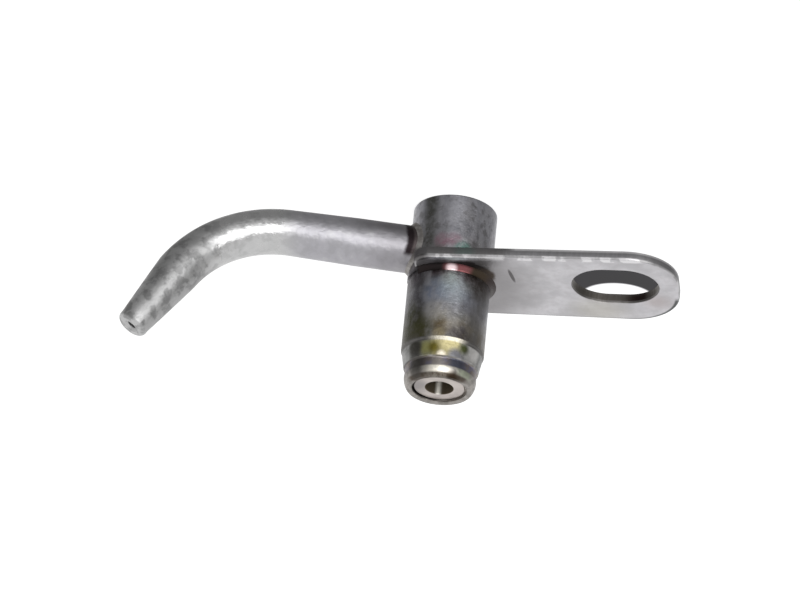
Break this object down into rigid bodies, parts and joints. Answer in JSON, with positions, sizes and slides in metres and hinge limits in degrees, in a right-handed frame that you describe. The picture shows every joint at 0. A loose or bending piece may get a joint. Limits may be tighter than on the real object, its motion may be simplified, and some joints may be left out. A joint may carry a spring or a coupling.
{
  "type": "piston cooling nozzle",
  "caption": "Oil jet for cooling a piston: turned valve body with spigot, stamped plate with a bolt slot, and a bent jet tube with a ball check valve inside.",
  "frame": {"origin": "where the spigot's axis crosses the plate's face that seats on the engine block", "axes": "+Z along the spigot towards its free end, -X along the plate towards the bolt slot, the jet tube towards +X"},
  "size_m": [0.0791, 0.0214, 0.0289],
  "materials": {
    "plated_steel": "turned, worn zinc plating with brown and olive heat stains",
    "plate_steel": "stamped, satin",
    "tube_steel": "drawn tube, satin",
    "ring_steel": "turned, bright",
    "ball_steel": "polished",
    "spring_steel": "drawn wire",
    "braze": "copper braze, darkened"
  },
  "bodies": {
    "nozzle": {"valve_body": "plated_steel", "mounting_plate": "plate_steel", "jet_tube": "tube_steel", "seat_ring": "ring_steel", "valve_spring": "spring_steel", "plate_braze": "braze", "tube_braze": "braze"},
    "ball": {"check_ball": "ball_steel"}
  },
  "joints": [
    {"name": "ball_lift", "type": "slide", "parent": "nozzle", "child": "ball", "axis": [0, 0, -1], "range_m": [0, 0.0019], "stiffness_N_per_m": 3100, "springref_m": -0.0009, "deforming": ["valve_spring"]}
  ]
}
